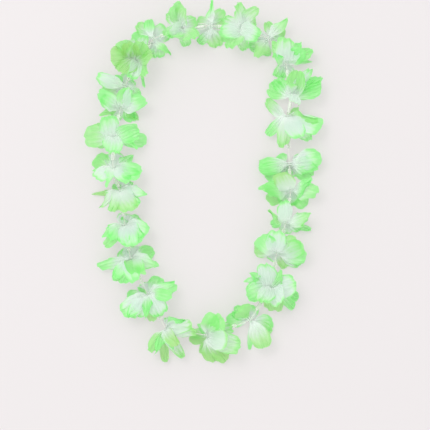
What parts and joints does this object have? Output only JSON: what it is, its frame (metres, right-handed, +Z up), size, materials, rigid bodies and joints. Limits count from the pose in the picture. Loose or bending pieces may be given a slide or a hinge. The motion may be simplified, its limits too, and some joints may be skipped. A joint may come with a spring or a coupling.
{
  "type": "artificial flower lei",
  "caption": "Closed loop of ruffled green and white fabric flowers on a thread, with short clear tubes between them, laid flat in a long oval.",
  "frame": {"origin": "on the surface that the lei lies on, below the middle of its bounding box", "axes": "+Z up from the surface, +Y along the long side of the oval towards the end worn at the nape, +X towards the right side of the picture"},
  "size_m": [0.2692, 0.4102, 0.0445],
  "materials": {
    "petal_fabric": "thin satin, white in the middle and spring green at the rim",
    "clear_tube": "clear, slightly yellowed",
    "thread": "plain white twisted thread"
  },
  "bodies": {
    "root": {"thread": "thread", "flower_01": "petal_fabric", "flower_02": "petal_fabric", "flower_03": "petal_fabric", "flower_04": "petal_fabric", "flower_05": "petal_fabric", "flower_06": "petal_fabric", "flower_07": "petal_fabric", "flower_08": "petal_fabric", "flower_09": "petal_fabric", "flower_10": "petal_fabric", "flower_11": "petal_fabric", "flower_12": "petal_fabric", "flower_13": "petal_fabric", "flower_14": "petal_fabric", "flower_15": "petal_fabric", "flower_16": "petal_fabric", "flower_17": "petal_fabric", "flower_18": "petal_fabric", "flower_19": "petal_fabric", "flower_20": "petal_fabric", "flower_21": "petal_fabric", "flower_22": "petal_fabric", "flower_23": "petal_fabric", "flower_24": "petal_fabric", "flower_25": "petal_fabric", "tube_01": "clear_tube", "tube_02": "clear_tube", "tube_03": "clear_tube", "tube_04": "clear_tube", "tube_05": "clear_tube", "tube_06": "clear_tube", "tube_07": "clear_tube", "tube_08": "clear_tube", "tube_09": "clear_tube", "tube_10": "clear_tube", "tube_11": "clear_tube", "tube_12": "clear_tube", "tube_13": "clear_tube", "tube_14": "clear_tube", "tube_15": "clear_tube", "tube_16": "clear_tube", "tube_17": "clear_tube", "tube_18": "clear_tube", "tube_19": "clear_tube", "tube_20": "clear_tube", "tube_21": "clear_tube", "tube_22": "clear_tube", "tube_23": "clear_tube", "tube_24": "clear_tube", "tube_25": "clear_tube"}
  },
  "joints": []
}
